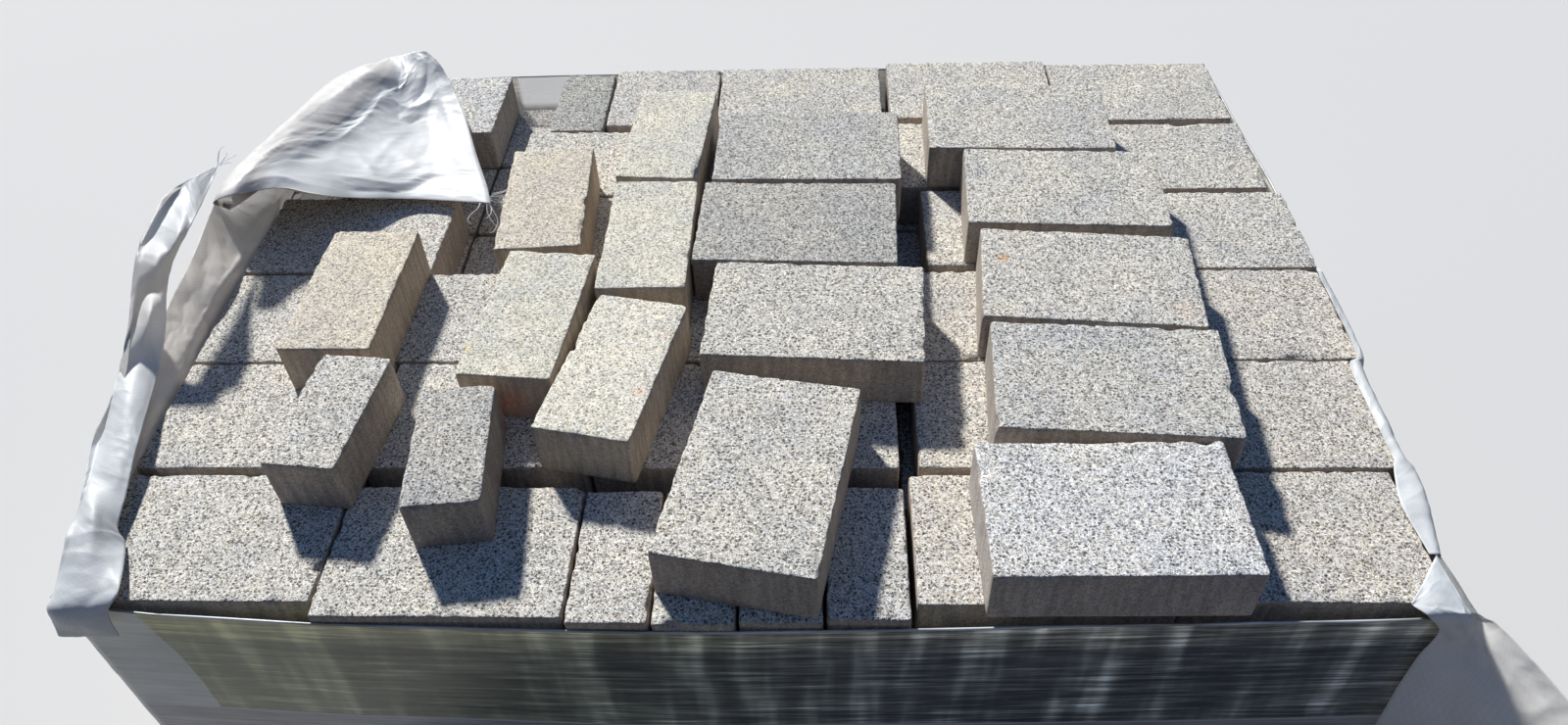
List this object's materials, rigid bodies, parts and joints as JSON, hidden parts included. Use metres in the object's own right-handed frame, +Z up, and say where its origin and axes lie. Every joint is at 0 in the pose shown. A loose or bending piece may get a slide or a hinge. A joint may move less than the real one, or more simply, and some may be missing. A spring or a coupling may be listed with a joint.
{
  "type": "pallet of paving stones",
  "caption": "Timber pallet stacked with full layers of concrete paving stones and a part layer of loose ones, held by a stretch film sleeve, with a torn white cover sheet.",
  "frame": {"origin": "centre of the pallet's underside, at floor level", "axes": "+X along the pallet's length, to the right seen from the front; +Y to the back; +Z up"},
  "size_m": [1.3732, 1.0346, 0.727],
  "materials": {
    "grey_stone": "rough",
    "pale_stone": "rough",
    "pallet_wood": "sawn",
    "stretch_film": "glossy",
    "cover_sheet": "woven"
  },
  "bodies": {
    "root": {"cover_flap": "cover_sheet", "cover_left_strip": "cover_sheet", "cover_right_skirt": "cover_sheet", "film_wrap": "stretch_film", "loose_large_stone_1": "grey_stone", "loose_large_stone_2": "grey_stone", "loose_large_stone_3": "grey_stone", "loose_large_stone_4": "grey_stone", "loose_large_stone_5": "grey_stone", "loose_large_stone_6": "grey_stone", "loose_large_stone_7": "grey_stone", "loose_large_stone_8": "grey_stone", "loose_large_stone_9": "grey_stone", "loose_oblong_stone_1": "pale_stone", "loose_oblong_stone_2": "pale_stone", "loose_oblong_stone_3": "pale_stone", "loose_oblong_stone_4": "pale_stone", "loose_oblong_stone_5": "pale_stone", "loose_oblong_stone_6": "pale_stone", "loose_small_stone_1": "grey_stone", "loose_small_stone_2": "grey_stone", "pallet_bottom_boards": "pallet_wood", "pallet_stringer_back": "pallet_wood", "pallet_stringer_front": "pallet_wood", "pallet_stringer_middle": "pallet_wood", "pallet_top_boards": "pallet_wood", "stone_layer_1": "grey_stone", "stone_layer_2": "grey_stone", "stone_layer_3": "grey_stone", "stone_layer_4": "grey_stone", "stone_layer_5": "grey_stone", "stone_layer_6": "grey_stone", "stone_layer_7": "grey_stone", "top_left_row_1": "grey_stone", "top_left_row_2": "grey_stone", "top_left_row_3": "grey_stone", "top_left_row_4": "grey_stone", "top_left_row_5": "grey_stone", "top_left_row_6": "grey_stone", "top_right_row_1": "grey_stone", "top_right_row_2": "grey_stone", "top_right_row_3": "grey_stone", "top_right_row_4": "grey_stone", "top_right_row_5": "grey_stone", "top_right_row_6": "grey_stone"}
  },
  "joints": []
}
